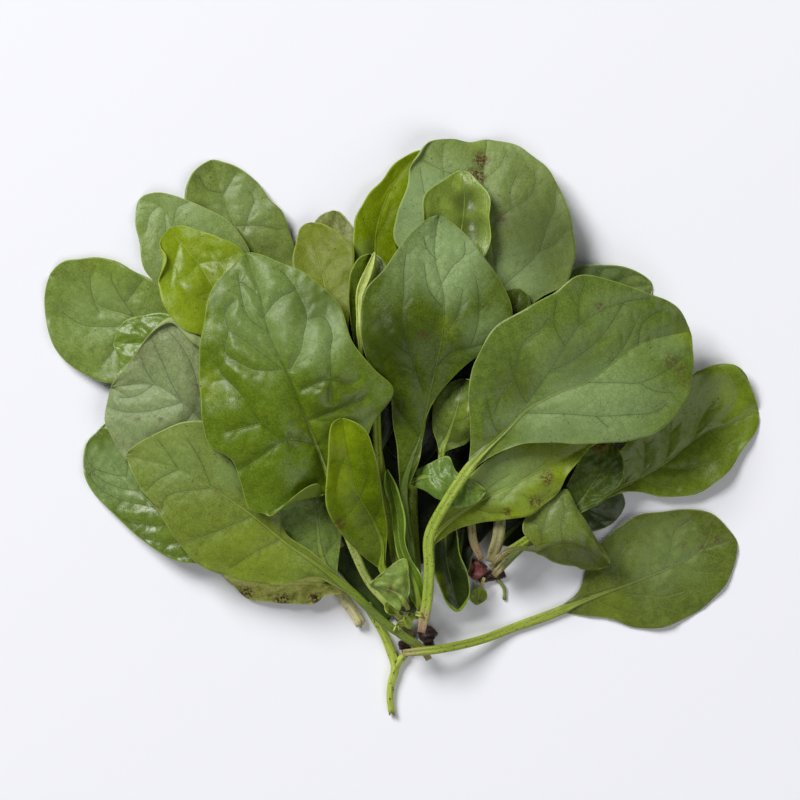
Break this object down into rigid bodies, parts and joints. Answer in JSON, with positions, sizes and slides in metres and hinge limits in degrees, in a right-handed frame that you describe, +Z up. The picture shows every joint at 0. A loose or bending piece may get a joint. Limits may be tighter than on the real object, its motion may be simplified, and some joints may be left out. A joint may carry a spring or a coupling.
{
  "type": "spinach bunch",
  "caption": "Loose bunch of fresh spinach lying on its side: broad rounded leaves on long stalks, heaped and fanned out from short crowns, with a forked root stub.",
  "frame": {"origin": "middle of the bunch's box as seen from above, on the surface it lies on", "axes": "+Z up, +X along the bunch's longest extent, +Y from the crowns towards the leaves' tips"},
  "size_m": [0.3568, 0.2878, 0.0407],
  "materials": {
    "green_leaf": "satin",
    "blue_green_leaf": "satin",
    "bright_leaf": "satin",
    "grey_green_leaf": "matte",
    "olive_leaf": "satin",
    "dark_leaf": "satin",
    "muddy_leaf": "matte",
    "pale_stem": "satin",
    "crown": "matte"
  },
  "bodies": {
    "root": {"forked_root_stub": "pale_stem", "cut_stem": "pale_stem", "rootlet": "pale_stem", "main_crown": "crown", "right_crown": "crown", "under_leaf_crown": "dark_leaf", "under_leaf_stems": "dark_leaf", "under_leaf_low_left": "dark_leaf", "under_leaf_foot": "green_leaf", "under_leaf_left": "green_leaf", "under_leaf_low_right": "dark_leaf", "under_leaf_right": "green_leaf", "under_leaf_centre": "green_leaf", "under_leaf_back": "dark_leaf", "under_leaf_upper_right": "green_leaf", "seed_leaf": "pale_stem", "leaf_back_brown": "muddy_leaf", "leaf_back_left": "green_leaf", "leaf_far_left": "green_leaf", "leaf_low_left": "dark_leaf", "leaf_foot_muddy": "muddy_leaf", "leaf_upper_right": "green_leaf", "leaf_top_bright": "bright_leaf", "leaf_under_right": "dark_leaf", "leaf_right": "green_leaf", "leaf_small_left": "green_leaf", "leaf_left_grey": "grey_green_leaf", "leaf_upper_left": "blue_green_leaf", "leaf_olive": "olive_leaf", "leaf_bright_left": "bright_leaf", "leaf_top_round": "grey_green_leaf", "leaf_crumpled": "dark_leaf", "leaf_ribbed": "grey_green_leaf", "strap_leaf": "bright_leaf", "leaf_v_folded": "dark_leaf", "leaf_front_left": "green_leaf", "leaf_lower_left": "green_leaf", "leaf_lower_right": "green_leaf", "heart_leaf_1": "bright_leaf", "heart_leaf_2": "bright_leaf", "heart_leaf_3": "bright_leaf", "leaf_pointed_right": "dark_leaf", "leaf_cupped": "bright_leaf", "leaf_small_centre": "green_leaf", "leaf_torn": "olive_leaf", "leaf_folded_back": "olive_leaf", "leaf_edge_on": "bright_leaf", "leaf_centre": "green_leaf", "leaf_under_front": "bright_leaf", "leaf_strap_front": "green_leaf", "leaf_front_right": "green_leaf", "leaf_front_bright": "bright_leaf", "leaf_pale_folded": "bright_leaf"}
  },
  "joints": []
}
